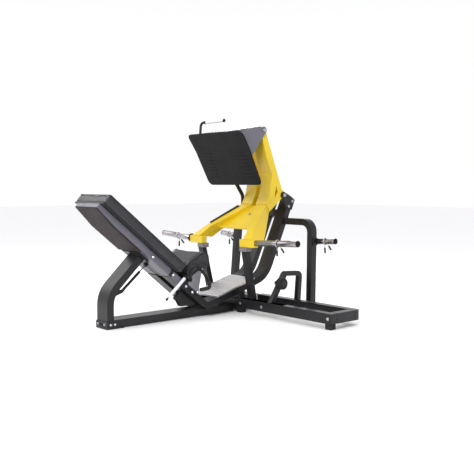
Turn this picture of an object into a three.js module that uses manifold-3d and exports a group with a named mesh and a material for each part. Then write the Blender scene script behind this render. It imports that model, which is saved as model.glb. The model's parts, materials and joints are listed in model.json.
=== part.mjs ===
// A plate-loaded leg press: an inclined bench, a swinging press arm and a foot plate kept
// at one angle by a parallel link. Millimetres, +X away from the head end, +Z up, near side -Y.
// The origin is on the floor, in the centre plane, under the head-end foot.
import * as THREE from 'three';
import { ConvexGeometry } from 'three/addons/geometries/ConvexGeometry.js';
import { mergeVertices } from 'three/addons/utils/BufferGeometryUtils.js';
import Module from 'manifold-3d';

const wasm = await Module();
wasm.setup();

// ---------------------------------------------------------------- driving dimensions
const GAP = 0.3;                        // clearance between touching pieces

const BENCH_X = -114;                   // bench reference line, its head end
const BENCH_Z = 931;
const BENCH_SLOPE = 39.4 * Math.PI / 180;

const TUBE_INNER = 40;                  // main tubes, distance from the centre plane
const TUBE_OUTER = 156;
const TUBE_DEPTH = 54;
const TUBE_PATH = [[534, 381], [886, 94, 70], [1548, 284, 230], [1858, 952]];

const BEAM_HALF = 73;                   // lying base tube, 146 by 58
const BEAM_LOW = 8;
const BEAM_TOP = 66;
const RAIL_LOW = 43;                    // side frame tube
const RAIL_TOP = 122;
const SIDE_END = -1170;

const HINGE = [544, 375];               // backrest tilt
const PIVOT_A = [1745, 989];            // press arm on the posts
const PIVOT_B = [1503, 1545];           // foot plate on the press arm
const PIVOT_C = [1343, 1300];           // parallel link on the foot plate
const PIVOT_D = [1585, 744];            // parallel link on the far post
const AXLE_R = 14;
const PIN_R = 10;
const LEVER_PIVOT = [610, 319];

const STRUT_LOW = [171, 264];
const STRUT_TOP = [388, 448];

const ARM_INNER = 26;                   // press arm rails
const ARM_OUTER = 155.5;

const HORN_R = 25;
const LOAD_ROOT = [1179, 418.4, 607];
const LOAD_TIP = [1197, 873, 628];
const STORE_ROOT = [1780, 470, 596];
const STORE_TIP = [1798, 729, 611];

const SOCKET = { x0: 1152, x1: 1206, y0: 244, y1: 418, z0: 570, z1: 632 };
const FOOT_TOP = [1071, 1505];          // foot plate, face towards the user
const FOOT_BEND = [1162, 1368];
const FOOT_LOW = [1313, 1077];
const FOOT_T = 14;

// ---------------------------------------------------------------- materials
function paint(color, roughness, metalness) {
  return () => new THREE.MeshStandardMaterial({ color, roughness, metalness });
}
const black = paint(0x1c1c1f, 0.5, 0.3);
const grey = paint(0x77777d, 0.5, 0.3);
const yellow = paint(0xe2c020, 0.4, 0.1);
const chrome = paint(0xd8d8dc, 0.15, 1);
const silver = paint(0xb8b8bc, 0.4, 0.9);
const rubber = paint(0x18181a, 0.9, 0);
const vinyl = paint(0x46474c, 0.6, 0);

const part = new THREE.Group();

function add(name, geometry, material) {
  const mesh = new THREE.Mesh(geometry, material());
  mesh.name = name;
  part.add(mesh);
}

// ---------------------------------------------------------------- solids
function toSolid(geometry) {
  const bare = geometry.clone();
  bare.deleteAttribute('normal');
  bare.deleteAttribute('uv');
  const merged = mergeVertices(bare, 1e-4);
  const mesh = new wasm.Mesh({
    numProp: 3,
    vertProperties: new Float32Array(merged.attributes.position.array),
    triVerts: new Uint32Array(merged.index.array),
  });
  return new wasm.Manifold(mesh);
}

function fromSolid(solid) {
  const mesh = solid.getMesh();
  const geometry = new THREE.BufferGeometry();
  geometry.setAttribute('position', new THREE.BufferAttribute(mesh.vertProperties, 3));
  geometry.setIndex(new THREE.BufferAttribute(mesh.triVerts, 1));
  return geometry;
}

function join(...shapes) {
  return fromSolid(shapes.map(toSolid).reduce((sum, next) => sum.add(next)));
}

function cut(shape, ...tools) {
  return fromSolid(tools.map(toSolid).reduce((rest, tool) => rest.subtract(tool), toSolid(shape)));
}

function common(shape, tool) {
  return fromSolid(toSolid(shape).intersect(toSolid(tool)));
}

function hull(points) {
  return new ConvexGeometry(points.map((p) => new THREE.Vector3(...p)));
}

function box(x0, x1, y0, y1, z0, z1) {
  const geometry = new THREE.BoxGeometry(x1 - x0, y1 - y0, z1 - z0);
  return geometry.translate((x0 + x1) / 2, (y0 + y1) / 2, (z0 + z1) / 2);
}

function shapeOf(points) {
  const kept = points.filter((p, i) => {
    const next = points[(i + 1) % points.length];
    return Math.hypot(p[0] - next[0], p[1] - next[1]) > 0.02;
  });
  return new THREE.Shape(kept.map(([x, z]) => new THREE.Vector2(x, z)));
}

// A side-view outline of (x, z) points, filled between the distances y0 and y1.
function slab(points, y0, y1) {
  const geometry = new THREE.ExtrudeGeometry(shapeOf(points), { depth: y1 - y0, bevelEnabled: false });
  return geometry.rotateX(Math.PI / 2).translate(0, y1, 0);
}

// The same on one side of the centre plane: side is -1 near, +1 far.
function slabOn(side, points, inner, outer) {
  return side < 0 ? slab(points, -outer, -inner) : slab(points, inner, outer);
}

// Points round part of a circle, angles in degrees.
function arc([x, z], radius, from, to, steps = 10) {
  const points = [];
  for (let i = 0; i <= steps; i += 1) {
    const angle = (from + (to - from) * i / steps) * Math.PI / 180;
    points.push([x + radius * Math.cos(angle), z + radius * Math.sin(angle)]);
  }
  return points;
}

function rod(from, to, radius, sides = 20) {
  const a = new THREE.Vector3(...from);
  const b = new THREE.Vector3(...to);
  const geometry = new THREE.CylinderGeometry(radius, radius, a.distanceTo(b), sides);
  const turn = new THREE.Quaternion();
  turn.setFromUnitVectors(new THREE.Vector3(0, 1, 0), b.clone().sub(a).normalize());
  geometry.applyQuaternion(turn);
  const middle = a.add(b).multiplyScalar(0.5);
  return geometry.translate(middle.x, middle.y, middle.z);
}

// A pin along Y through a side-view point.
function pin([x, z], y0, y1, radius, sides = 20) {
  return rod([x, y0, z], [x, y1, z], radius, sides);
}

function bentRod(points, radius, sides = 12, steps = 24) {
  const curve = new THREE.CatmullRomCurve3(points.map((p) => new THREE.Vector3(...p)), false, 'centripetal');
  const ring = arc([0, 0], radius, 0, 360, sides).slice(0, sides);
  const options = { extrudePath: curve, steps, bevelEnabled: false };
  return new THREE.ExtrudeGeometry(shapeOf(ring), options);
}

// The outline of a strip of given thickness along a centre line of [x, z, bend radius].
function strip(path, thickness, steps = 8) {
  const stations = [];
  for (let i = 0; i < path.length; i += 1) {
    const here = new THREE.Vector2(path[i][0], path[i][1]);
    const last = path[Math.max(i - 1, 0)];
    const next = path[Math.min(i + 1, path.length - 1)];
    const into = here.clone().sub(new THREE.Vector2(last[0], last[1])).normalize();
    const out = new THREE.Vector2(next[0], next[1]).sub(here).normalize();
    if (i === 0 || i === path.length - 1) {
      stations.push([here, i === 0 ? out : into]);
      continue;
    }
    const turn = Math.atan2(into.cross(out), into.dot(out));
    const radius = path[i][2];
    const start = here.clone().addScaledVector(into, -radius * Math.tan(Math.abs(turn) / 2));
    const across = new THREE.Vector2(-into.y, into.x).multiplyScalar(Math.sign(turn) * radius);
    const centre = start.clone().add(across);
    for (let k = 0; k <= steps; k += 1) {
      const angle = turn * k / steps;
      const point = start.clone().rotateAround(centre, angle);
      stations.push([point, into.clone().rotateAround(new THREE.Vector2(), angle)]);
    }
  }
  const half = thickness / 2;
  const edge = (sign) => stations.map(([p, t]) => [p.x - sign * half * t.y, p.y + sign * half * t.x]);
  return [...edge(-1), ...edge(1).reverse()];
}

// Bench coordinates: a runs down the slope from the head end, b is square to it.
function bench(a, b) {
  const cos = Math.cos(BENCH_SLOPE);
  const sin = Math.sin(BENCH_SLOPE);
  return [BENCH_X + a * cos + b * sin, BENCH_Z - a * sin + b * cos];
}

function onBench(points) {
  return points.map(([a, b]) => bench(a, b));
}

const SIDES = [['near', -1], ['far', 1]];

// ---------------------------------------------------------------- base
function makeHeadLeg() {
  const leg = slab(strip([[29, BEAM_LOW], [29, 257, 200], [358, 569.3]], 58), -BEAM_HALF, BEAM_HALF);
  const saddle = slab(onBench([[510, -42.3], [636, -42.3], [636, -56], [510, -56]]), -100, 100);
  const above = slab(onBench([[300, -42], [900, -42], [900, 120], [300, 120]]), -90, 90);
  const lug = slab([[45, 210], ...arc(STRUT_LOW, 12, -70, 100, 8), [50, 300]], -6, 6);
  const hole = pin(STRUT_LOW, -20, 20, 4.4, 16);
  add('head_leg', cut(join(cut(leg, above), saddle, lug), hole), black);

  const top = BEAM_LOW - GAP;
  const sole = box(-6, 145, -79, 79, 0, top);
  const front = box(-6, -GAP, -79, 79, 0, 58);
  const cheeks = SIDES.map(([, s]) => slabOn(s, [[-6, 0], [98, 0], [98, 42], [82, 58], [-6, 58]],
    BEAM_HALF + GAP, 79));
  add('foot_shoe', join(sole, front, ...cheeks), black);
}

function makeBeams() {
  const beam = box(58.3, 1239.7, -BEAM_HALF, BEAM_HALF, BEAM_LOW, BEAM_TOP);
  const saddle = box(880, 924, -150, 150, BEAM_TOP - 6, 74);
  add('base_beam', join(beam, saddle), black);
  add('spine_beam', box(1308.3, 1666.7, -BEAM_HALF, BEAM_HALF, BEAM_LOW, BEAM_TOP), black);
  add('rear_cross_beam', box(1667, 1813, -560, 560, 0, BEAM_TOP), black);
}

function makeSideFrame() {
  const front = box(1240, 1308, SIDE_END, 330, RAIL_LOW, RAIL_TOP);
  const support = slab([[1244, 118], [1304, 118], [1304, 185.2], [1244, 168]], -150, 150);
  add('side_frame_front', join(front, support), black);
  add('side_frame_end', box(1308.3, 1520, SIDE_END, SIDE_END + 68, RAIL_LOW, RAIL_TOP), black);

  const plan = [[1520.3, -73.3], [1520.3, SIDE_END], ...arc([1552, SIDE_END + 36], 36, -90, 0, 6), [1588, -73.3]];
  const back = new THREE.ExtrudeGeometry(shapeOf(plan), { depth: RAIL_TOP - RAIL_LOW, bevelEnabled: false });
  add('side_frame_back', back.translate(0, 0, RAIL_LOW), black);

  const footTop = RAIL_LOW - GAP;
  add('side_foot', box(1244, 1304, SIDE_END + 4, SIDE_END + 64, 0, footTop), rubber);
  add('centre_foot', box(1244, 1304, -167, -107, 0, footTop), rubber);
}

function makeTread() {
  const rise = Math.tan(16 * Math.PI / 180);
  const under = (x) => 151.1 + rise * (x - 985);
  const ribs = 10;
  const pitch = 41;
  const top = [];
  for (let i = 0; i < ribs; i += 1) {
    const x = 992 + i * pitch;
    top.push([x, under(x) + 12], [x + 3, under(x + 3) + 15]);
    top.push([x + 27, under(x + 27) + 15], [x + 30, under(x + 30) + 12]);
  }
  const profile = [[985, under(985)], [1404, under(1404)], [1404, under(1404) + 12], ...top.reverse(),
    [985, under(985) + 12]];
  add('tread_plate', slab(profile, -162, 162), silver);
}

// ---------------------------------------------------------------- main tubes and posts
function makeMainTubes() {
  const near = slabOn(-1, strip(TUBE_PATH, TUBE_DEPTH), TUBE_INNER, TUBE_OUTER);
  add('main_tube_near', near, black);

  // The far tube also carries the bracket and pin of the parallel link.
  const far = slabOn(1, strip(TUBE_PATH, TUBE_DEPTH), TUBE_INNER, TUBE_OUTER);
  const plate = slab([...arc(PIVOT_D, 26, 110, 290, 10), [1735, 672], [1760, 690], [1764, 724],
    [1742, 728]], TUBE_OUTER + GAP, 167);
  const weld = slab([[1725, 684], [1750, 684], [1758, 720], [1735, 720]], 150, 160);
  const linkPin = pin(PIVOT_D, 160, 194, PIN_R);
  add('main_tube_far', join(far, plate, weld, linkPin), black);

  const tie = slab(strip([[1783, 790], [1811, 850]], 50), -TUBE_INNER + GAP, TUBE_INNER - GAP);
  add('tube_tie', tie, black);
  add('hinge_shaft', pin(HINGE, -TUBE_INNER + GAP, TUBE_INNER - GAP, 10), silver);
}

function makePivotBrackets() {
  const profile = [...arc(PIVOT_A, 30, 80, 250, 10), [1786, 872], [1846, 858], [1884, 946], [1836, 978]];
  for (const [name, s] of SIDES) {
    const plate = slabOn(s, profile, TUBE_OUTER + GAP, 168);
    add(`pivot_bracket_${name}`, cut(plate, pin(PIVOT_A, s * 140, s * 180, AXLE_R + GAP)), black);
  }
  add('arm_axle', pin(PIVOT_A, -176, 174, AXLE_R), silver);
}

// ---------------------------------------------------------------- stops
function makeStops() {
  for (const [name, s] of SIDES) {
    const ring = (x, y, z) => [[-23, -30], [-23, 30], [23, -30], [23, 30]].map(([i, j]) => [x + i, y + j, z]);
    const post = hull([...ring(1279, s * 270, RAIL_TOP + GAP), ...ring(1188, s * 285, 530.7)]);
    add(`stop_post_${name}`, post, black);
    const across = s < 0 ? [-316, -238] : [238, 316];
    add(`stop_bumper_${name}`, box(1156, 1226, ...across, 531, SOCKET.z0 - GAP), rubber);
  }
}

// ---------------------------------------------------------------- storage
// The upright runs out from the post, bends and leans down to the rear cross beam.
function uprightSolid(side, grow) {
  const path = [[TUBE_OUTER + GAP, 760], [472, 760, 90], [500, 68]];
  const flat = slab(strip(path, 56 + 2 * grow), -31 - grow, 31 + grow).rotateZ(side * Math.PI / 2);
  const lean = new THREE.Matrix4().set(1, 0, 0.0548, 1745 - 66 * 0.0548, 0, 1, 0, 0, 0, 0, 1, 0, 0, 0, 0, 1);
  return flat.applyMatrix4(lean);
}

function makeStorage() {
  for (const [name, s] of SIDES) {
    add(`storage_upright_${name}`, uprightSolid(s, 0), black);
    const line = hornLine(STORE_ROOT, STORE_TIP, s);
    const horn = join(rod(line.at(0), line.at(line.length), HORN_R, 28), rod(line.at(20), line.at(48), 38, 28));
    add(`storage_horn_${name}`, cut(horn, uprightSolid(s, GAP)), chrome);
    add(`storage_collar_${name}`, makeCollar(line, 150), black);
  }
}

function hornLine(root, tip, side) {
  const a = new THREE.Vector3(root[0], root[1] * side, root[2]);
  const b = new THREE.Vector3(tip[0], tip[1] * side, tip[2]);
  const along = b.clone().sub(a).normalize();
  return { length: a.distanceTo(b), at: (d) => a.clone().addScaledVector(along, d).toArray() };
}

// A spring collar: a ring on the horn with two wire tangs that end in grips.
function makeCollar(line, distance) {
  const ring = rod(line.at(distance - 8), line.at(distance + 8), HORN_R + 6, 28);
  const bore = rod(line.at(distance - 20), line.at(distance + 20), HORN_R + 0.5, 28);
  const [x, y, z] = line.at(distance);
  const grips = [0, 40 * Math.PI / 180].flatMap((turn) => {
    const out = (reach) => [x + reach * Math.sin(turn), y, z - reach * Math.cos(turn)];
    return [rod(out(29), out(56), 3.5, 8), rod(out(52), out(98), 7.5, 10)];
  });
  return join(cut(ring, bore), ...grips);
}

// ---------------------------------------------------------------- hoop
function makeHoop() {
  const path = [[1258, 95], [1421, 352, 30], [1598, 342, 30], [1579, 100]];
  const bar = slab(strip(path, 40, 5), -520, -480);
  const floor = box(1150, 1700, -600, -400, 0, RAIL_TOP + GAP);
  const hub = [1345, 278];
  const lug = slab([...arc(hub, 18, 90, 270, 6), [1375, 262], [1375, 296]], -520, -480);
  const axle = pin(hub, -500, -577, 8, 14);
  add('hoop', join(cut(bar, floor), lug, axle), black);
  const roller = cut(pin(hub, -575, -520.4, 48, 28), pin(hub, -600, -500, 8.4, 14));
  add('hoop_roller', roller, rubber);
}

// ---------------------------------------------------------------- backrest
function makeBackrest() {
  const pad = onBench([[6, 24.5], [-2, 36], [-2, 84], [4, 98], [18, 104], [866, 104], [880, 97], [885, 84],
    [885, 34], [877, 24.5]]);
  add('back_pad', slab(pad, -224, 224), vinyl);
  const board = onBench([[-2, 13.5], [-2, 24.2], [848, 24.2], [848, 13.5]]);
  add('back_board', slab(board, -205, 205), black);
  const bar = onBench([[0, 13.2], [845, 13.2], [845, -39], [200, -39], [0, -20]]);
  // The near bar also carries the cross piece that closes the head end.
  const closer = onBench([[0, 13.2], [14, 13.2], [14, -21.3], [0, -20]]);
  const nearBar = join(slab(bar, -TUBE_OUTER, -TUBE_INNER), slab(closer, -TUBE_OUTER, TUBE_INNER - GAP));
  add('back_bar_near', nearBar, grey);
  add('back_bar_far', slab(bar, TUBE_INNER, TUBE_OUTER), grey);
  const cover = onBench([[0, -20.4], [200, -39.4], [505, -39.4], [505, -52], [200, -52], [0, -27]]);
  add('back_cover', slab(cover, -153, 153), black);

  // Between the bars: the block that carries the hinge eye and the strut's upper fork.
  const half = TUBE_INNER - GAP;
  const block = slab(onBench([[670, -36], [838, -36], [838, 10], [670, 10]]), -half, half);
  const eye = slab([...arc(HINGE, 22, -130, 50, 12), bench(826, 8), bench(826, -32)], -30, 30);
  const solid = cut(join(block, eye), pin(HINGE, -60, 60, 10.4));
  const fork = SIDES.map(([, s]) => slabOn(s, [...arc(STRUT_TOP, 11, 140, 320, 8), bench(712, -30),
    bench(678, -30)], 5.8, 11));
  add('bench_tie', join(solid, ...fork, pin(STRUT_TOP, -10.5, 10.5, 4, 14)), black);
}

function makeStrut() {
  const dx = STRUT_TOP[0] - STRUT_LOW[0];
  const dz = STRUT_TOP[1] - STRUT_LOW[1];
  const length = Math.hypot(dx, dz);
  const at = (d) => [STRUT_LOW[0] + dx * d / length, 0, STRUT_LOW[1] + dz * d / length];
  const side = (d, w) => [at(d)[0] - w * dz / length, at(d)[2] + w * dx / length];
  const barrel = cut(rod(at(15), at(215), 11, 20), rod(at(36), at(230), 5.5, 16));
  const ears = SIDES.map(([, s]) => slabOn(s, [side(24, -8), side(24, 8), ...arc(STRUT_LOW, 9, 130, 310, 8)],
    6.3, 10.5));
  add('strut_cylinder', join(barrel, ...ears, pin(STRUT_LOW, -10, 10, 4, 14)), black);
  const eye = cut(join(rod(at(60), at(280), 5, 16), pin(STRUT_TOP, -5.2, 5.2, 9.5, 20)),
    pin(STRUT_TOP, -9, 9, 5.4, 18));
  add('strut_rod', eye, chrome);
}

// ---------------------------------------------------------------- seat
function makeSeat() {
  const pad = [[672, 350], [752, 416], [864, 407], [877, 432], [882, 459], [878, 490], [868, 520], [848, 536],
    [823, 541], [690, 472], [676, 464], [672, 450]];
  add('seat_pad', slab(pad, -190, 190), vinyl);
  const plate = [[690, 289.6], [796, 203.2], [840, 408.2], [752, 415.4], [700, 372.4]];
  for (const [name, s] of SIDES) {
    add(`seat_frame_${name}`, slabOn(s, plate, 140, 150), grey);
    const y = s * 206;
    const bar = bentRod([[706, s * 168, 320], [684, s * 198, 334], [672, y, 360], [700, y, 384], [764, y, 409],
      [808, y, 372], [868, y, 284], [860, y, 252], [820, y, 246], [775, y, 245]], 12.5, 10, 24);
    const stub = rod([706, s * 150.4, 320], [706, s * 172, 320], 12.5, 14);
    add(`grab_handle_${name}`, join(bar, stub), black);
  }
  const base = [[645, 326], [645, 375], [671.6, 375], [671.6, 349.6], [690, 364.6], [690, 289.4]];
  add('seat_base', slab(base, -139, 139), black);
  const housing = [[668, 236], [602, 176], [632, 150], [658, 108], [800, 108], [806, 123]];
  add('latch_housing', slab(housing, -100, -60), black);
}

function makeLever() {
  const y = -178;
  const bar = rod([640, y, 345], [480, y, 206], 13, 18);
  const neck = rod([484, y, 209.5], [470, y, 197.3], 5, 12);
  const knob = rod([474, y, 200.8], [459, y, 187.7], 9, 16);
  const boss = pin(LEVER_PIVOT, y, -TUBE_OUTER - GAP, 11, 16);
  add('release_lever', join(bar, neck, knob, boss), chrome);
}

// ---------------------------------------------------------------- press arm
function makeArmRails() {
  const [bx, bz] = PIVOT_B;
  const profile = [...arc([bx, bz], 30, 180, 0, 12), [1548, 1495], [1730, 1042], ...arc(PIVOT_A, 32, 60, -120, 12),
    [1715, 949], [1583, 847], [1538, 913], [1585, 1008], [1614, 1175], [1565, 1260], [1500, 1447]];
  for (const [name, s] of SIDES) {
    const rail = slabOn(s, profile, ARM_INNER, ARM_OUTER);
    const window = slabOn(s, [[1661, 1074], [1685, 1017], [1642, 956]], 10, 180);
    const bores = [PIVOT_A, PIVOT_B].map((p) => pin(p, s * 10, s * 180, AXLE_R + GAP));
    add(`arm_rail_${name}`, cut(rail, window, ...bores), yellow);
  }
}

// One splayed leg, from the rails down to its horn socket.
function legSolid(side, grow) {
  const corners = (x, z, y0, y1) => [[x, side * (y0 - grow), z], [x, side * (y1 + grow), z]];
  const top = [...corners(1536, 911, 30, 155), ...corners(1579.6, 844.6, 30, 155)];
  const knee = [...corners(1257, 723, 245, 311), ...corners(1393, 689, 245, 311)];
  const ankle = [...corners(1152, 634, 285, 385), ...corners(1300, 616, 285, 385)];
  return join(hull([...top, ...knee]), hull([...knee, ...ankle]));
}

function makeArmLegs() {
  for (const [name, s] of SIDES) {
    const { x0, x1, y0, y1, z0, z1 } = SOCKET;
    const socket = s < 0 ? box(x0, x1, -y1, -y0, z0, z1) : box(x0, x1, y0, y1, z0, z1);
    const leg = cut(legSolid(s, 0), railShadow(s));
    add(`arm_leg_${name}`, join(leg, socket), yellow);
  }
  const web = hull([
    [1552, -40, 896], [1552, 40, 896], [1561, -40, 888], [1561, 40, 888],
    [1325, -260, 706], [1325, 260, 706], [1333, -260, 698], [1333, 260, 698],
  ]);
  const clear = SIDES.flatMap(([, s]) => [legSolid(s, 0.5), railShadow(s)]);
  add('arm_knee', cut(web, ...clear), yellow);
}

// The rails with a little added all round, used to keep the legs and web clear of them.
function railShadow(side) {
  const profile = [[1583.2, 846.6], [1537.6, 913], [1560, 958], [1760, 1000], [1720, 949]];
  return slabOn(side, profile.map(([x, z]) => [x - 0.25, z - 0.25]), 20, 160);
}

function makeLoadHorns() {
  for (const [name, s] of SIDES) {
    const line = hornLine(LOAD_ROOT, LOAD_TIP, s);
    const bar = rod(line.at(0), line.at(line.length), HORN_R, 28);
    const horn = s < 0 ? bar : join(bar, rod(line.at(5), line.at(14), 38, 28));
    const socketFace = s < 0 ? box(1000, 1300, -418.3, -300, 500, 700) : box(1000, 1300, 300, 418.3, 500, 700);
    add(`load_horn_${name}`, cut(horn, socketFace), chrome);
    add(`load_collar_${name}`, makeCollar(line, s < 0 ? 238 : 208), black);
  }
}

// ---------------------------------------------------------------- foot plate
function footBack(extra) {
  const t = FOOT_T + extra;
  return [
    [FOOT_TOP[0] + 0.833 * t, FOOT_TOP[1] + 0.553 * t],
    [FOOT_BEND[0] + 0.862 * t, FOOT_BEND[1] + 0.506 * t],
    [FOOT_LOW[0] + 0.888 * t, FOOT_LOW[1] + 0.461 * t],
  ];
}

function makeFootPlate() {
  const sheet = slab([FOOT_TOP, FOOT_BEND, FOOT_LOW, ...footBack(0).reverse()], -348, 348);
  const r = 45;
  const front = [...arc([303, 1468], r, 0, 90, 6), ...arc([-303, 1468], r, 90, 180, 6),
    ...arc([-290, 1122], r, 180, 270, 6), ...arc([290, 1122], r, 270, 360, 6)];
  const blank = new THREE.ExtrudeGeometry(shapeOf(front), { depth: 500, bevelEnabled: false });
  blank.rotateX(Math.PI / 2).rotateZ(Math.PI / 2).translate(950, 0, 0);
  add('foot_plate', common(sheet, blank), black);

  const [top, bend, low] = footBack(GAP + 0.1);
  const reach = [low[0] + (bend[0] - low[0]) * 0.3, low[1] + (bend[1] - low[1]) * 0.3];
  const [bx, bz] = PIVOT_B;
  const gusset = [top, bend, reach, [1300, 1240], ...arc([bx, bz], 30, -55, 100, 10)];
  const farGusset = [top, bend, reach, ...arc(PIVOT_C, 22, -140, -40, 6), ...arc([bx, bz], 30, -55, 100, 10)];
  const bore = pin(PIVOT_B, -200, 200, AXLE_R + GAP);
  const cap = slab([[top[0] + 2, top[1] + 1], [top[0] + 6, top[1] - 8], [1462, 1566], [1462, 1575]], -166.5, 166.5);
  const sweep = pin(PIVOT_B, -156, 156, 34, 28);
  const body = join(slab(gusset, -166.5, -156.5), slab(farGusset, 156.5, 166.5), cut(cap, sweep),
    pin(PIVOT_C, 160, 194, PIN_R));
  add('plate_bracket', cut(body, bore), grey);
  add('plate_axle', pin(PIVOT_B, -170, 170, AXLE_R), silver);

  const riser = bentRod([[1107.8, 214, 1496], [1111, 214, 1540], [1116, 212, 1588], [1124, 196, 1606],
    [1134, 172, 1609]], 11, 10, 14);
  const grip = rod([1130, 180, 1608.4], [1204, 0, 1620], 14, 16);
  add('plate_handle', join(riser, grip), chrome);
}

function makeLink() {
  const outline = strip([PIVOT_C, [1572, 985, 60], PIVOT_D], 32, 6);
  const bar = join(slab(outline, 178, 190), pin(PIVOT_C, 178, 190, 22), pin(PIVOT_D, 178, 190, 22));
  const bores = [PIVOT_C, PIVOT_D].map((p) => pin(p, 170, 200, PIN_R + 0.5));
  add('parallel_link', cut(bar, ...bores), black);
}

makeHeadLeg();
makeBeams();
makeSideFrame();
makeTread();
makeMainTubes();
makePivotBrackets();
makeStops();
makeStorage();
makeHoop();
makeBackrest();
makeStrut();
makeSeat();
makeLever();
makeArmRails();
makeArmLegs();
makeLoadHorns();
makeFootPlate();
makeLink();

export default part;
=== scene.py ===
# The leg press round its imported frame: materials for the frame's own pieces, and finer
# pieces for cushions, sleeves, collars, grips, lever, wheel, bolts and the foot plate's ribs.
# Metres, in the frame's own axes; mm() takes millimetres.
import json
import math
from collections import namedtuple

import bmesh
import bpy
from mathutils import Matrix, Vector


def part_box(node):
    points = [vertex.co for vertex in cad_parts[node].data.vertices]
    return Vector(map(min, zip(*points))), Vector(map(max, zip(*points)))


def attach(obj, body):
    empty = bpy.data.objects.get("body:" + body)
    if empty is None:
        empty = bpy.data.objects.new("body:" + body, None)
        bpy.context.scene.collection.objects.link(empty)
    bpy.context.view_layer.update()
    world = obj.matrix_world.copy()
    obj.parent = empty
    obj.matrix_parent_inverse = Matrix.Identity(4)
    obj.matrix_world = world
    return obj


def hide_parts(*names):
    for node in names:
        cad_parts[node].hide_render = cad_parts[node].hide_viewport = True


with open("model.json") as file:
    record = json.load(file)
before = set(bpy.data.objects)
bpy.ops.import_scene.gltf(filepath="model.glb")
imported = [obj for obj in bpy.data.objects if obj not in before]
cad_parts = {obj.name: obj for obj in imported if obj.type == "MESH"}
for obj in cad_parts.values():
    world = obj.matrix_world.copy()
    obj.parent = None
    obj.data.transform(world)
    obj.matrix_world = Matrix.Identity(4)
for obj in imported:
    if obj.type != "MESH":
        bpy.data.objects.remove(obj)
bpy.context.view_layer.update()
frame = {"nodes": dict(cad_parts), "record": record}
NODES = frame["nodes"]

SIDES = (("near", -1), ("far", 1))
NEAR, FAR = (0, -1, 0), (0, 1, 0)

# The bench line: its slope, its head end, and the directions down it and square off it.
BENCH_SLOPE = math.radians(39.4)
BENCH_ORIGIN = Vector((-0.114, 0.0, 0.931))
DOWN_BENCH = Vector((math.cos(BENCH_SLOPE), 0.0, -math.sin(BENCH_SLOPE)))
OFF_BENCH = Vector((math.sin(BENCH_SLOPE), 0.0, math.cos(BENCH_SLOPE)))


def mm(x, y, z):
    return Vector((x / 1000, y / 1000, z / 1000))


def on_bench(along, off, y=0.0):
    """The point so far down the bench, so far off its line, and so far from the centre plane."""
    return BENCH_ORIGIN + DOWN_BENCH * along + OFF_BENCH * off + Vector((0, y, 0))


def new_object(name, data):
    obj = bpy.data.objects.new(name, data)
    bpy.context.scene.collection.objects.link(obj)
    return obj


# ---------------------------------------------------------------- camera, floor, light
CAMERA_PLACE = (-2.795, -4.687, 1.070)
CAMERA_YAW = math.radians(41.443)  # from +Y towards +X
CAMERA_PITCH = math.radians(4.043)  # downwards
CAMERA_ROLL = math.radians(-0.165)
CAMERA_LENS, CAMERA_SENSOR = 55.01, 36.0

FLOOR_REACH, FLOOR_DROP = 30.0, 0.0005
LIGHTS = {  # where it hangs, what it points at, its size and its power
    "key": ((-4.0, -3.0, 4.6), (0.8, 0, 0.6), 1.8, 260),
    "softbox": ((-0.6, 5.0, 3.4), (0.6, 0, 0.6), 4.0, 60),
    "rim": ((4.2, 2.6, 3.6), (1.0, 0, 0.9), 2.0, 80),
}
OVERHEAD_POWER, OVERHEAD_SPREAD = 0.75, math.radians(50)


def make_camera():
    level = math.cos(CAMERA_PITCH)
    forward = Vector((math.sin(CAMERA_YAW) * level, math.cos(CAMERA_YAW) * level, -math.sin(CAMERA_PITCH)))
    right = Vector((math.cos(CAMERA_YAW), -math.sin(CAMERA_YAW), 0.0))
    down = forward.cross(right)
    turned_right = math.cos(CAMERA_ROLL) * right + math.sin(CAMERA_ROLL) * down
    turned_down = math.cos(CAMERA_ROLL) * down - math.sin(CAMERA_ROLL) * right
    data = bpy.data.cameras.new("camera")
    data.lens = CAMERA_LENS
    data.sensor_width = CAMERA_SENSOR
    data.clip_end = 2 * FLOOR_REACH
    camera = new_object("camera", data)
    axes = Matrix((turned_right, -turned_down, -forward)).transposed().to_4x4()
    camera.matrix_world = Matrix.Translation(CAMERA_PLACE) @ axes
    bpy.context.scene.camera = camera


def make_floor():
    mesh = bpy.data.meshes.new("floor")
    turns = ((-1, -1), (1, -1), (1, 1), (-1, 1))
    corners = [(x * FLOOR_REACH, y * FLOOR_REACH, -FLOOR_DROP) for x, y in turns]
    mesh.from_pydata(corners, [], [(0, 1, 2, 3)])
    floor = new_object("floor", mesh)
    material = bpy.data.materials.new("floor")
    material.use_nodes = True
    shader = material.node_tree.nodes["Principled BSDF"]
    shader.inputs["Base Color"].default_value = (0.96, 0.96, 0.96, 1)
    shader.inputs["Roughness"].default_value = 0.8
    mesh.materials.append(material)


def make_sky():
    """White at the horizon, a little darker overhead."""
    world = bpy.data.worlds.new("studio")
    world.use_nodes = True
    tree = world.node_tree
    where = tree.nodes.new("ShaderNodeTexCoord")
    split = tree.nodes.new("ShaderNodeSeparateXYZ")
    tree.links.new(where.outputs["Generated"], split.inputs["Vector"])
    sky = ramp(tree, split.outputs["Z"], (1, 1, 1), (0.66, 0.66, 0.68), start=0.22, end=0.7)
    tree.links.new(sky, tree.nodes["Background"].inputs["Color"])
    bpy.context.scene.world = world
    bpy.context.scene.view_settings.view_transform = "Standard"


def make_lights():
    for name, (place, target, size, power) in LIGHTS.items():
        data = bpy.data.lights.new(name, "AREA")
        data.shape = "DISK"
        data.size = size
        data.energy = power
        light = new_object(name, data)
        light.location = place
        light.rotation_mode = "QUATERNION"
        light.rotation_quaternion = (Vector(target) - Vector(place)).to_track_quat("-Z", "Y")
    data = bpy.data.lights.new("overhead", "SUN")
    data.energy = OVERHEAD_POWER
    data.angle = OVERHEAD_SPREAD
    new_object("overhead", data)


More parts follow.
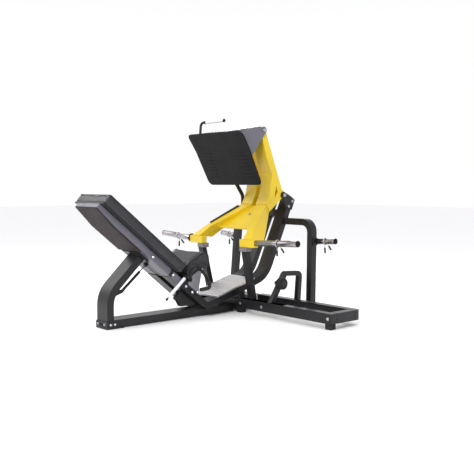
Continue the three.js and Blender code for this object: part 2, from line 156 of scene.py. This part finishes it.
# ---------------------------------------------------------------- materials
def new_material(name, roughness, metallic=0.0, coat=0.0, sheen=0.0, specular=0.5):
    material = bpy.data.materials.new(name)
    material.use_nodes = True
    shader = material.node_tree.nodes["Principled BSDF"]
    shader.inputs["Roughness"].default_value = roughness
    shader.inputs["Metallic"].default_value = metallic
    shader.inputs["Coat Weight"].default_value = coat
    shader.inputs["Coat Roughness"].default_value = 0.2
    shader.inputs["Sheen Weight"].default_value = sheen
    shader.inputs["Specular IOR Level"].default_value = specular
    return material, material.node_tree, shader


def noise(tree, scale, detail=4.0, stretch=(1, 1, 1)):
    where = tree.nodes.new("ShaderNodeTexCoord")
    mapping = tree.nodes.new("ShaderNodeMapping")
    mapping.inputs["Scale"].default_value = stretch
    texture = tree.nodes.new("ShaderNodeTexNoise")
    texture.inputs["Scale"].default_value = scale
    texture.inputs["Detail"].default_value = detail
    tree.links.new(where.outputs["Object"], mapping.inputs["Vector"])
    tree.links.new(mapping.outputs["Vector"], texture.inputs["Vector"])
    return texture.outputs["Fac"]


def cells(tree, scale):
    where = tree.nodes.new("ShaderNodeTexCoord")
    texture = tree.nodes.new("ShaderNodeTexVoronoi")
    texture.feature = "DISTANCE_TO_EDGE"
    texture.inputs["Scale"].default_value = scale
    tree.links.new(where.outputs["Object"], texture.inputs["Vector"])
    return texture.outputs["Distance"]


def ramp(tree, value, low, high, start=0.3, end=0.7):
    node = tree.nodes.new("ShaderNodeValToRGB")
    node.color_ramp.elements[0].position = start
    node.color_ramp.elements[1].position = end
    node.color_ramp.elements[0].color = (*low, 1)
    node.color_ramp.elements[1].color = (*high, 1)
    tree.links.new(value, node.inputs["Fac"])
    return node.outputs["Color"]


def spread(tree, value, low, high):
    node = tree.nodes.new("ShaderNodeMapRange")
    node.inputs["To Min"].default_value = low
    node.inputs["To Max"].default_value = high
    tree.links.new(value, node.inputs["Value"])
    return node.outputs["Result"]


def bump(tree, shader, height, strength, distance):
    node = tree.nodes.new("ShaderNodeBump")
    node.inputs["Strength"].default_value = strength
    node.inputs["Distance"].default_value = distance
    tree.links.new(height, node.inputs["Height"])
    tree.links.new(node.outputs["Normal"], shader.inputs["Normal"])


def powder_coat(name, low, high, roughness, coat=0.1, specular=0.5):
    """Baked paint: a faint orange peel, and slow changes of tone and gloss."""
    material, tree, shader = new_material(name, roughness, coat=coat, specular=specular)
    tone = ramp(tree, noise(tree, scale=3.5), low, high)
    gloss = spread(tree, noise(tree, scale=14, detail=6), roughness - 0.07, roughness + 0.09)
    tree.links.new(tone, shader.inputs["Base Color"])
    tree.links.new(gloss, shader.inputs["Roughness"])
    bump(tree, shader, noise(tree, scale=420, detail=2), strength=0.12, distance=0.0004)
    return material


def metal(name, low, high, roughness, stretch):
    """Bare or plated metal with fine streaks along one direction."""
    material, tree, shader = new_material(name, roughness, metallic=1.0)
    streaks = noise(tree, scale=60, detail=6, stretch=stretch)
    tree.links.new(ramp(tree, streaks, low, high), shader.inputs["Base Color"])
    tree.links.new(spread(tree, streaks, roughness * 0.6, roughness * 1.6), shader.inputs["Roughness"])
    bump(tree, shader, streaks, strength=0.06, distance=0.0003)
    return material


def grained(name, low, high, roughness, grain, depth, sheen=0.0, strength=0.5, specular=0.3):
    """Vinyl, moulded plastic or foam: a cellular grain over a soft change of tone."""
    material, tree, shader = new_material(name, roughness, sheen=sheen, specular=specular)
    tone = ramp(tree, noise(tree, scale=9, detail=5), low, high)
    gloss = spread(tree, noise(tree, scale=40, detail=4), roughness - 0.06, roughness + 0.08)
    tree.links.new(tone, shader.inputs["Base Color"])
    tree.links.new(gloss, shader.inputs["Roughness"])
    bump(tree, shader, cells(tree, grain), strength, depth)
    return material


MATERIALS = {
    "frame_black": powder_coat("black_paint", (0.007, 0.007, 0.008), (0.013, 0.013, 0.015), 0.33,
                               coat=0.0, specular=0.34),
    "trim_grey": powder_coat("lavender_grey_paint", (0.095, 0.093, 0.118), (0.135, 0.133, 0.162), 0.38),
    "arm_yellow": powder_coat("yellow_paint", (0.68, 0.47, 0.009), (0.77, 0.545, 0.012), 0.34, coat=0.12),
    "light_grey": powder_coat("light_grey_paint", (0.20, 0.20, 0.22), (0.27, 0.27, 0.29), 0.36),
    "handle_black": powder_coat("handle_paint", (0.003, 0.003, 0.003), (0.006, 0.006, 0.007), 0.30,
                                coat=0.0, specular=0.30),
    "chrome": metal("chrome", (0.27, 0.25, 0.255), (0.46, 0.435, 0.44), 0.22, stretch=(1, 0.05, 1)),
    "bright_steel": metal("bright_steel", (0.42, 0.42, 0.44), (0.58, 0.58, 0.60), 0.28, stretch=(1, 1, 1)),
    "tread": metal("ribbed_aluminium", (0.52, 0.52, 0.54), (0.72, 0.72, 0.73), 0.34, stretch=(1, 0.04, 1)),
    "rubber": grained("rubber", (0.010, 0.010, 0.010), (0.020, 0.020, 0.020), 0.75, 700, 0.0004),
    "vinyl": grained("vinyl", (0.014, 0.014, 0.017), (0.026, 0.026, 0.031), 0.36, 520, 0.0006,
                     sheen=0.04, specular=0.42),
    "plate_black": grained("moulded_black", (0.004, 0.004, 0.005), (0.008, 0.008, 0.009), 0.55, 420, 0.0004,
                           specular=0.15),
    "grip": grained("foam_grip", (0.020, 0.016, 0.014), (0.034, 0.027, 0.023), 0.8, 800, 0.0005, sheen=0.1),
    # cover_brown: on the back cover this dark brown is painted shade and reflection over a board that is
    # black; on the leg strip it is the strip's own colour.
    "cover_brown": grained("brown_label_and_painted_shade", (0.018, 0.012, 0.013), (0.034, 0.025, 0.027), 0.7, 260, 0.0004),
    "white_grip": grained("white_grip", (0.70, 0.70, 0.71), (0.80, 0.80, 0.81), 0.35, 500, 0.0002,
                          strength=0.2),
    "piping": grained("black_piping", (0.004, 0.004, 0.004), (0.008, 0.008, 0.008), 0.4, 600, 0.0002),
    "bumper_grey": grained("bumper_grey", (0.17, 0.155, 0.16), (0.24, 0.22, 0.225), 0.7, 500, 0.0004),
    "thread": grained("thread", (0.05, 0.05, 0.055), (0.09, 0.09, 0.095), 0.7, 900, 0.0002),
}

# Nodes whose finish differs from their slot's usual one.
OTHER_FINISH = {
    "seat_frame_near": "light_grey",
    "seat_frame_far": "light_grey",
    # The back cover's brown is painted shade and reflection; the board itself is black.
    "back_cover": "cover_brown",
    "grab_handle_near": "handle_black",
    "grab_handle_far": "handle_black",
    "stop_bumper_near": "bumper_grey",
    "stop_bumper_far": "bumper_grey",
}
# How wide each node's edges are rounded: TUBE_EDGE unless it is named here.
TUBE_EDGE = 0.0055
ROUND_EDGE = {
    "foot_plate": 0.004, "plate_bracket": 0.0015, "plate_axle": 0.0015, "parallel_link": 0.002,
    "pivot_bracket_near": 0.002, "pivot_bracket_far": 0.002, "arm_axle": 0.0015, "hinge_shaft": 0.001,
    "arm_knee": 0.002, "tread_plate": 0.0008, "foot_shoe": 0.0012,
    "strut_rod": 0.0005, "strut_cylinder": 0.001, "bench_tie": 0.001,
    "back_board": 0.002, "back_cover": 0.002, "seat_frame_near": 0.0015, "seat_frame_far": 0.0015,
    "grab_handle_near": 0.0, "grab_handle_far": 0.0,
}
WELD_DISTANCE = 0.00005


def add_weld(obj):
    weld = obj.modifiers.new("weld", "WELD")
    weld.merge_threshold = WELD_DISTANCE


def add_rounding(obj, width, segments, sharpest):
    rounded = obj.modifiers.new("rounded", "BEVEL")
    rounded.width = width
    rounded.segments = segments
    rounded.limit_method = "ANGLE"
    rounded.angle_limit = math.radians(sharpest)
    rounded.harden_normals = True


def dress_frame():
    slots = {s["node"]: s["material_slot"] for s in frame["record"]["subparts"]}
    for name, obj in NODES.items():
        finish = MATERIALS[OTHER_FINISH.get(name, slots[name])]
        if obj.material_slots:
            obj.material_slots[0].material = finish
        else:
            obj.data.materials.append(finish)
        if "custom_normal" in obj.data.attributes:
            obj.data.attributes.remove(obj.data.attributes["custom_normal"])
        for face in obj.data.polygons:
            face.use_smooth = True
        add_weld(obj)
        width = ROUND_EDGE.get(name, TUBE_EDGE)
        if width:
            add_rounding(obj, width, segments=3, sharpest=38)


# ---------------------------------------------------------------- building pieces
class Piece:
    """Gathers rings of points into one mesh, with a material for each part of it."""

    def __init__(self, name):
        self.name = name
        self.bm = bmesh.new()
        self.finishes = []

    def finish_index(self, finish):
        if finish not in self.finishes:
            self.finishes.append(finish)
        return self.finishes.index(finish)

    def loft(self, rings, finish, sharp=False):
        """A skin over the rings, capped at both ends."""
        index = self.finish_index(finish)
        rows = [[self.bm.verts.new(p) for p in ring] for ring in rings]
        faces = []
        count = len(rows[0])
        for low, high in zip(rows, rows[1:]):
            for i in range(count):
                j = (i + 1) % count
                faces.append(self.bm.faces.new((low[i], low[j], high[j], high[i])))
        faces.append(self.bm.faces.new(list(reversed(rows[0]))))
        faces.append(self.bm.faces.new(rows[-1]))
        for face in faces:
            face.material_index = index
            face.smooth = not sharp

    def lathe(self, start, axis, profile, finish, sides=32, sharp=False):
        """profile: (radius, distance along axis) from one end cap to the other."""
        turn = Vector((0, 0, 1)).rotation_difference(Vector(axis).normalized())
        angles = [2 * math.pi * i / sides for i in range(sides)]
        rings = []
        for radius, distance in profile:
            ring = [Vector((radius * math.cos(a), radius * math.sin(a), distance)) for a in angles]
            rings.append([Vector(start) + turn @ p for p in ring])
        self.loft(rings, finish, sharp=sharp)

    def tube(self, points, radius, finish, sides=14, taper=None):
        points = [Vector(p) for p in points]
        rings = []
        side = None
        for i, point in enumerate(points):
            ahead = points[min(i + 1, len(points) - 1)] - points[max(i - 1, 0)]
            ahead.normalize()
            if side is None:
                side = ahead.orthogonal().normalized()
            side = (side - ahead * side.dot(ahead)).normalized()
            across = ahead.cross(side)
            r = radius if taper is None else radius * taper(i / (len(points) - 1))
            rings.append([point + side * r * math.cos(2 * math.pi * k / sides)
                          + across * r * math.sin(2 * math.pi * k / sides) for k in range(sides)])
        self.loft(rings, finish)

    def bolt(self, place, axis, radius):
        """A washer under a chamfered hex head."""
        axis = Vector(axis).normalized()
        washer, thick = radius * 2.0, 0.0022
        rim = [(washer * 0.96, 0), (washer, 0.0004), (washer, 0.0018), (washer * 0.95, thick)]
        self.lathe(place, axis, rim, "bright_steel", 24)
        head = radius * 1.62
        hexagon = [(head, 0), (head, radius * 0.8), (head * 0.86, radius * 1.05)]
        self.lathe(Vector(place) + axis * thick, axis, hexagon, "bright_steel", 6, sharp=True)

    def done(self, body, edge=0.0, replaces=()):
        bmesh.ops.recalc_face_normals(self.bm, faces=self.bm.faces)
        mesh = bpy.data.meshes.new(self.name)
        self.bm.to_mesh(mesh)
        self.bm.free()
        for finish in self.finishes:
            mesh.materials.append(MATERIALS[finish])
        obj = new_object(self.name, mesh)
        if edge:
            add_rounding(obj, edge, segments=2, sharpest=40)
        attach(obj, body)
        if replaces:
            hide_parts(*replaces)


def curve_points(corners, steps):
    """A smooth line through the corners (Catmull-Rom)."""
    corners = [Vector(c) for c in corners]
    padded = [corners[0] * 2 - corners[1]] + corners + [corners[-1] * 2 - corners[-2]]
    points = []
    for a, b, c, d in zip(padded, padded[1:], padded[2:], padded[3:]):
        for k in range(steps):
            t = k / steps
            points.append(0.5 * ((2 * b) + (c - a) * t + (2 * a - 5 * b + 4 * c - d) * t * t
                                 + (3 * b - a - 3 * c + d) * t * t * t))
    return points + [corners[-1]]


# ---------------------------------------------------------------- cushions
CLOTH_STEPS = 20
PAD_HALF, PAD_LENGTH = 0.224, 0.883  # half its width, and its length down the bench
PAD_LOW, PAD_TOP = 0.0247, 0.102  # off the bench line, before the crown
PAD_CROWN, PAD_SWELL = 0.004, 0.003
SEAM_TOP, SEAM_LOW, SEAM_WIDTH = 0.085, 0.033, 0.004
SEAT_HALF, SEAT_SEAM = 0.193, 0.163
SEAT_MIDDLE = Vector((0.775, 0, 0.445))
SEAT_UNDERSIDE = 0.42
STITCH_COUNT, STITCH_PITCH, STITCH_LENGTH = 86, 0.01, 0.005
PIPING_RADIUS = 0.0032


def evaluated_copy(obj):
    graph = bpy.context.evaluated_depsgraph_get()
    return bpy.data.meshes.new_from_object(obj.evaluated_get(graph))


def inflate(obj, limit):
    """Cloth pressure swells the skin; no point moves further than the limit."""
    scene = bpy.context.scene
    start = [v.co.copy() for v in obj.data.vertices]
    cloth = obj.modifiers.new("cloth", "CLOTH")
    settings = cloth.settings
    settings.quality = 4
    settings.mass = 0.3
    settings.tension_stiffness = 15
    settings.compression_stiffness = 15
    settings.shear_stiffness = 5
    settings.bending_stiffness = 0.5
    settings.use_pressure = True
    settings.uniform_pressure_force = 4
    settings.effector_weights.gravity = 0
    for step in range(1, CLOTH_STEPS + 1):
        scene.frame_set(step)
    swollen = evaluated_copy(obj)
    moved = [v.co.copy() for v in swollen.vertices]
    obj.modifiers.remove(cloth)
    scene.frame_set(1)
    for vertex, before, after in zip(obj.data.vertices, start, moved):
        step = after - before
        if step.length > limit:
            step *= limit / step.length
        vertex.co = before + step


def cushion(name, node, body, shrink, limit, voxel, shape):
    """Remeshes a copy of the CAD pad, swells it, then shapes it with its seams."""
    obj = new_object(name, NODES[node].data.copy())
    add_weld(obj)
    remesh = obj.modifiers.new("remesh", "REMESH")
    remesh.mode = "VOXEL"
    remesh.voxel_size = voxel
    soften = obj.modifiers.new("soften", "SMOOTH")
    soften.iterations = 10
    mesh = evaluated_copy(obj)
    obj.modifiers.clear()
    obj.data = mesh
    low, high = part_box(node)
    centre = (low + high) / 2
    for vertex in mesh.vertices:
        vertex.co.y = centre.y + (vertex.co.y - centre.y) * (1 - shrink)
    inflate(obj, limit)
    for vertex in mesh.vertices:
        vertex.co = shape(vertex.co)
    mesh.polygons.foreach_set("use_smooth", [True] * len(mesh.polygons))
    smooth = obj.modifiers.new("fine", "SUBSURF")
    smooth.levels = 1
    smooth.render_levels = 1
    mesh.materials.clear()
    mesh.materials.append(MATERIALS["vinyl"])
    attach(obj, body)
    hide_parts(node)


def groove(distance, depth):
    return depth * math.exp(-(distance / SEAM_WIDTH) ** 2)


def clamp(value, low, high):
    return max(low, min(high, value))


def shape_back(point):
    """Seams run round the pad where its top and bottom panels meet the sides."""
    rel = point - BENCH_ORIGIN
    crown = PAD_CROWN * (1 - min(abs(point.y) / PAD_HALF, 1) ** 4)
    off = clamp(rel.dot(OFF_BENCH), PAD_LOW, PAD_TOP + crown)
    y = clamp(point.y, -PAD_HALF - PAD_SWELL, PAD_HALF + PAD_SWELL)
    if abs(y) > PAD_HALF - 0.03:
        y -= math.copysign(groove(off - SEAM_TOP, 0.003) + groove(off - SEAM_LOW, 0.002), y)
    along = clamp(rel.dot(DOWN_BENCH), -PAD_SWELL, PAD_LENGTH + PAD_SWELL)
    if along > 0.87:
        along -= groove(off - SEAM_TOP, 0.0015)
    if along < 0.02:
        along += groove(off - SEAM_TOP, 0.0015)
    return on_bench(along, off, y)


def shape_seat(point):
    """A seam runs over the seat near each end."""
    y = clamp(point.y, -SEAT_HALF, SEAT_HALF)
    moved = Vector((point.x, y, point.z))
    if point.z >= SEAT_UNDERSIDE:
        centre = SEAT_MIDDLE + Vector((0, y, 0))
        moved += (centre - moved).normalized() * groove(abs(y) - SEAT_SEAM, 0.0025)
    return moved


def make_cushions():
    cushion("back_cushion", "back_pad", "backrest", 0.015, 0.009, 0.007, shape_back)
    cushion("seat_cushion", "seat_pad", "frame", 0.02, 0.007, 0.006, shape_seat)

    stitches = Piece("back_stitching")
    arch = ((0, PAD_HALF - 0.0018), (STITCH_LENGTH / 2, PAD_HALF - 0.0008), (STITCH_LENGTH, PAD_HALF - 0.0018))
    for side in (-1, 1):
        for k in range(STITCH_COUNT):
            along = 0.02 + STITCH_PITCH * k
            stitches.tube([on_bench(along + d, 0.0905, side * y) for d, y in arch], 0.0008, "thread", 6)
    stitches.done("backrest")


def make_piping():
    """Black cord round the edge of the back's top face, and round both ends of the seat."""
    edge = Piece("back_piping")
    y, cut = PAD_HALF - 0.0075, 0.007
    corners = [(0.014, -y), (0.866, -y), (0.873, -y + cut), (0.873, y - cut), (0.866, y), (0.014, y),
               (0.007, y - cut), (0.007, -y + cut), (0.014, -y)]
    edge.tube([on_bench(along, 0.0965, across) for along, across in corners], PIPING_RADIUS, "piping", 10)
    edge.done("backrest")

    seam = Piece("seat_piping")
    inward = 0.003
    outline = [(672, 356), (672, 450), (690, 472), (756, 507), (823, 541), (848, 536), (868, 520), (878, 490),
               (882, 459), (877, 432), (864, 409)]
    for _, side in SIDES:
        end = Vector((0, side * 0.186, 0))
        corners = [mm(x, 0, z) - (mm(x, 0, z) - SEAT_MIDDLE).normalized() * inward for x, z in outline]
        seam.tube([p + end for p in curve_points(corners, 4)], PIPING_RADIUS, "piping", 10)
    seam.done("frame")


# ---------------------------------------------------------------- plate sleeves and collars
# root and tip are millimetres on the far side; the other lengths are metres from the root.
Horn = namedtuple("Horn", "root tip body sleeve_start disc_end collar_at")
HORNS = {
    "load": Horn((1179, 418.4, 607), (1197, 873, 628), "press_arm", 0.002, 0.014,
                 {"near": 0.238, "far": 0.208}),
    "storage": Horn((1780, 470, 596), (1798, 729, 611), "frame", 0.038, 0.048, {"near": 0.150, "far": 0.150}),
}
SLEEVE_RADIUS = 0.025
WIRE_RADIUS, COIL_RADIUS = 0.0023, 0.0282
COIL_TURNS, COIL_STEPS, COIL_PITCH = 3, 26, 0.0052
GRIP_SPLAY = math.radians(40)


def horn_line(kind, side):
    """Where a horn starts, the way it points, and how long it is."""
    root, tip = (mm(x, y * side, z) for x, y, z in (HORNS[kind].root, HORNS[kind].tip))
    return root, (tip - root).normalized(), (tip - root).length


def make_horn(kind, name, side):
    """A sleeve with a black end cap, and a disc at its root except on the near load horn."""
    start, axis, length = horn_line(kind, side)
    r, first = SLEEVE_RADIUS, HORNS[kind].sleeve_start
    horn = Piece(f"{kind}_sleeve_{name}")
    sleeve = [(r, 0), (r, length - first - 0.010), (r * 0.985, length - first - 0.009)]
    horn.lathe(start + axis * first, axis, sleeve, "chrome", 48)
    cap = [(r * 0.99, 0), (r, 0.001), (r, 0.006), (r * 0.93, 0.009)]
    horn.lathe(start + axis * (length - 0.0092), axis, cap, "plate_black", 48)
    if (kind, name) != ("load", "near"):
        thick = HORNS[kind].disc_end - first
        disc = [(0.030, 0), (0.036, 0.001), (0.038, 0.003), (0.038, thick - 0.002), (0.036, thick),
                (0.0252, thick + 0.001)]
        horn.lathe(start + axis * first, axis, disc, "frame_black", 48)
    horn.done(HORNS[kind].body, replaces=[f"{kind}_horn_{name}"])


def make_collar(kind, name, side):
    """A spring collar: turns of wire whose ends hang below, one straight and one splayed, in grips."""
    start, axis, _ = horn_line(kind, side)
    centre = start + axis * HORNS[kind].collar_at[name]
    down = (Vector((0, 0, -1)) + axis * axis.z).normalized()
    across = axis.cross(down) * -side
    half = COIL_TURNS * COIL_PITCH / 2

    def outward(angle):
        return down * math.cos(angle) + across * math.sin(angle)

    collar = Piece(f"{kind}_clip_{name}")
    coil = []
    for i in range(COIL_TURNS * COIL_STEPS + 1):
        turn = i / COIL_STEPS
        coil.append(centre + axis * (COIL_PITCH * turn - half) + outward(2 * math.pi * turn) * COIL_RADIUS)
    collar.tube(coil, WIRE_RADIUS, "bright_steel", 8)
    grip = [(0.0045, 0), (0.0068, 0.002), (0.0075, 0.006), (0.0072, 0.030), (0.0075, 0.041), (0.0068, 0.045),
            (0.004, 0.047)]
    for offset, splay in ((-half, 0.0), (half, GRIP_SPLAY)):
        base, out = centre + axis * offset, outward(splay)
        wire_end = [base + out * reach for reach in (COIL_RADIUS, 0.040, 0.056)]
        collar.tube(wire_end, WIRE_RADIUS, "bright_steel", 8)
        collar.lathe(base + out * 0.052, out, grip, "grip", 16)
    collar.done(f"{kind}_collar_unit_{name}", replaces=[f"{kind}_collar_{name}"])


# ---------------------------------------------------------------- handles and lever
LEVER_Y = -178


def make_side_grips():
    """Foam grips on the grab handles, each with four raised bands."""
    route_mm = [(852, 308), (869, 283), (861, 253), (822, 246), (776, 245)]
    band = [(0.0150, 0), (0.0160, 0.0008), (0.0160, 0.0022), (0.0150, 0.003)]
    for name, side in SIDES:
        route = curve_points([mm(x, side * 206, z) for x, z in route_mm], 7)
        grip = Piece(f"side_grip_{name}")
        grip.tube(route, 0.0152, "grip", 20, lambda t: 0.93 if t < 0.03 or t > 0.97 else 1.0)
        for k in (0.2, 0.4, 0.6, 0.8):
            i = int(k * (len(route) - 1))
            ahead = (route[i + 1] - route[i]).normalized()
            grip.lathe(route[i] - ahead * 0.0015, ahead, band, "rubber", 20)
        grip.done("frame")


def make_lever():
    """A white bar with a chrome neck and a black knob, on a pin."""
    top, low = mm(640, LEVER_Y, 345), mm(480, LEVER_Y, 206)
    along = (low - top).normalized()
    length = (low - top).length
    bar = [(0.0115, 0), (0.013, 0.002), (0.013, length - 0.002), (0.0115, length)]
    knob = [(0.0065, 0), (0.009, 0.002), (0.009, 0.017), (0.007, 0.0198)]
    lever = Piece("lever")
    lever.lathe(top, along, bar, "white_grip", 32)
    lever.lathe(low - along * 0.004, along, [(0.005, 0), (0.005, 0.018)], "chrome", 16)
    lever.lathe(mm(474, LEVER_Y, 200.8), along, knob, "rubber", 24)
    lever.lathe(mm(610, LEVER_Y, 319), FAR, [(0.011, -0.002), (0.011, 0.0214)], "bright_steel", 24)
    lever.done("lever", 0.0004, ["release_lever"])


def make_plate_handle():
    """The bent riser on the foot plate, and its white grip between two rubber collars."""
    bends = [(1107.8, 214, 1496), (1111, 214, 1540), (1116, 212, 1588), (1124, 196, 1606), (1134, 172, 1609)]
    handle = Piece("top_handle")
    handle.tube(curve_points([mm(*p) for p in bends], 8), 0.0108, "frame_black", 20)
    root, tip = mm(1130, 180, 1608.4), mm(1204, 0, 1620)
    along = (tip - root).normalized()
    length = (tip - root).length
    root_collar = [(0.0128, 0), (0.0135, 0.002), (0.0135, 0.012), (0.0125, 0.013)]
    grip = [(0.0122, 0), (0.0130, 0.001), (0.0130, length - 0.030), (0.0124, length - 0.028)]
    end_cap = [(0.013, 0), (0.0139, 0.001), (0.0139, 0.013), (0.011, 0.016)]
    handle.lathe(root, along, root_collar, "rubber", 28)
    handle.lathe(root + along * 0.013, along, grip, "white_grip", 32)
    handle.lathe(root + along * (length - 0.016), along, end_cap, "rubber", 28)
    handle.done("foot_plate_unit", replaces=["plate_handle"])


# ---------------------------------------------------------------- foot plate ribs, leg strip
RIB_COUNT, RIB_START, RIB_PITCH, RIB_COLUMN = 8, 0.030, 0.032, 0.215
PLATE_OUT = Vector((-0.887621, 0, -0.460587))


def make_foot_ribs():
    """Slim raised bars on the lower panel, in one column at each side."""
    top, low = mm(1162, 0, 1368), mm(1313, 0, 1077)
    down = (low - top).normalized()
    sections = ((-0.070, 0.002, 0.0003), (-0.066, 0.004, 0.0014),
                (0.066, 0.004, 0.0014), (0.070, 0.002, 0.0003))
    ribs = Piece("plate_ribs")
    for side in (-1, 1):
        for k in range(RIB_COUNT):
            centre = top + down * (RIB_START + RIB_PITCH * k) + Vector((0, side * RIB_COLUMN, 0))
            rings = []
            for y, half, height in sections:
                mid, step, rise = centre + Vector((0, y, 0)), down * half, PLATE_OUT * height
                rings.append([mid - step, mid - step * 0.5 + rise, mid + step * 0.5 + rise, mid + step])
            ribs.loft(rings, "plate_black")
    ribs.done("foot_plate_unit")


def make_leg_strip():
    """The dark trim strip along the outer edge of the far leg's upper face."""
    inner_top, outer_top = mm(1536, 30, 911), mm(1536, 155, 911)
    inner_low, outer_low = mm(1257, 245, 723), mm(1257, 311, 723)
    lift = (inner_low - inner_top).cross(outer_top - inner_top).normalized()
    if lift.z < 0:
        lift = -lift

    def on_leg(down, out):
        return inner_top.lerp(inner_low, down).lerp(outer_top.lerp(outer_low, down), out)

    steps, height, sunk = 12, 0.011, 0.001
    rings = []
    for k in range(steps + 1):
        down = 0.12 + 0.78 * k / steps
        inner, outer = on_leg(down, 0.78), on_leg(down, 0.985)
        rings.append([inner - lift * sunk, inner + lift * height, outer + lift * height, outer - lift * sunk])
    strip = Piece("leg_strip")
    strip.loft(rings, "cover_brown")
    strip.done("press_arm")


# ---------------------------------------------------------------- wheel, plates and bolts
BAR_FACE = 0.1561  # just proud of the bench bars' outer faces


def make_roller():
    """The rubber wheel on the hoop, with a black hub disc."""
    centre = mm(1345, -520.8, 278)
    tyre = [(0.030, 0), (0.043, 0.001), (0.047, 0.004), (0.048, 0.010), (0.048, 0.044), (0.047, 0.050),
            (0.043, 0.0535), (0.030, 0.0542)]
    hub = [(0.026, 0), (0.026, 0.0016), (0.022, 0.0024), (0.0085, 0.0024)]
    wheel = Piece("roller_wheel")
    wheel.lathe(centre, NEAR, tyre, "rubber", 48)
    wheel.lathe(centre + Vector((0, -0.0530, 0)), NEAR, hub, "frame_black", 32)
    wheel.done("roller", replaces=["hoop_roller"])


def block(piece, corners, y_low, y_high, finish):
    """A plate of side-view corners between two distances from the centre plane."""
    piece.loft([[Vector((p.x, y, p.z)) for p in corners] for y in (y_low, y_high)], finish, sharp=True)


def make_clamps():
    """Black bands round the bench bars, the seat's side skirts and the cheek behind the lever."""
    clamps = Piece("bar_clamps")
    band = [on_bench(*p) for p in ((0.824, 0.0132), (0.842, 0.0132), (0.842, -0.0388), (0.824, -0.0388))]
    block(clamps, band, -0.1578, -BAR_FACE, "frame_black")
    block(clamps, band, BAR_FACE, 0.1578, "frame_black")
    clamps.done("backrest")

    skirt = Piece("seat_skirt")
    outline_mm = ((645.2, 326.5), (645.2, 374.8), (671.2, 374.8), (689.6, 364.2), (689.6, 290))
    outline = [mm(x, 0, z) for x, z in outline_mm]
    block(skirt, outline, -0.157, -0.1393, "frame_black")
    block(skirt, outline, 0.1393, 0.157, "frame_black")
    skirt.done("frame")

    cheek = Piece("lever_cheek")
    outline = [mm(x, 0, z) for x, z in ((551, 400), (640, 328), (607, 288), (518, 360))]
    block(cheek, outline, -0.1580, -0.1562, "trim_grey")
    cheek.done("frame", 0.0005)


def make_bolts():
    """Bolt heads, in one piece for each body and region that they sit on."""
    frame_bolts = Piece("frame_bolts")
    frame_bolts.bolt(mm(544, -158.0, 375), NEAR, 0.006)
    frame_bolts.bolt(mm(544, 156.1, 375), FAR, 0.006)
    for x, z in ((670, 275), (734, 222), (786, 217)):
        frame_bolts.bolt(mm(x, -156.1, z), NEAR, 0.006)
        frame_bolts.bolt(mm(x, 156.1, z), FAR, 0.006)
    for x in (26, 62):
        frame_bolts.bolt(mm(x, -79.1, 34), NEAR, 0.005)
        frame_bolts.bolt(mm(x, 79.1, 34), FAR, 0.005)
    for y in (-45, 45):
        frame_bolts.bolt(mm(-6.1, y, 36), (-1, 0, 0), 0.005)
    for axle_end, bracket_face, axis in ((-176.1, -168.1, NEAR), (174.1, 168.1, FAR)):
        for x, z in ((1806, 890), (1850, 935)):
            frame_bolts.bolt(mm(x, bracket_face, z), axis, 0.006)
        frame_bolts.bolt(mm(1745, axle_end, 989), axis, 0.008)
    for y in (-1140, -420, -160):
        frame_bolts.bolt(mm(1239.9, y, 82), (-1, 0, 0), 0.006)
    frame_bolts.done("frame")

    plate_bolts = Piece("plate_bolts")
    plate_bolts.bolt(mm(1503, -170.1, 1545), NEAR, 0.008)
    plate_bolts.bolt(mm(1503, 170.1, 1545), FAR, 0.008)
    plate_bolts.bolt(mm(1466, -28, 824.2), (-0.642, 0, 0.767), 0.006)
    plate_bolts.done("press_arm")

    bar_bolts = Piece("bar_bolts")
    for _, side in SIDES:
        bar_bolts.bolt(on_bench(0.62, -0.013, side * BAR_FACE), (0, side, 0), 0.006)
    bar_bolts.done("backrest")

    link_bolts = Piece("link_bolts")
    link_bolts.bolt(mm(1585, 194.1, 744), FAR, 0.006)
    link_bolts.done("frame")

    link_top_bolt = Piece("link_top_bolt")
    link_top_bolt.bolt(mm(1343, 194.1, 1300), FAR, 0.006)
    link_top_bolt.done("foot_plate_unit")


make_camera()
make_floor()
make_sky()
make_lights()
dress_frame()
make_cushions()
make_piping()
for side_name, side_sign in SIDES:
    for horn_kind in HORNS:
        make_horn(horn_kind, side_name, side_sign)
        make_collar(horn_kind, side_name, side_sign)
make_side_grips()
make_lever()
make_plate_handle()
make_foot_ribs()
make_leg_strip()
make_roller()
make_clamps()
make_bolts()
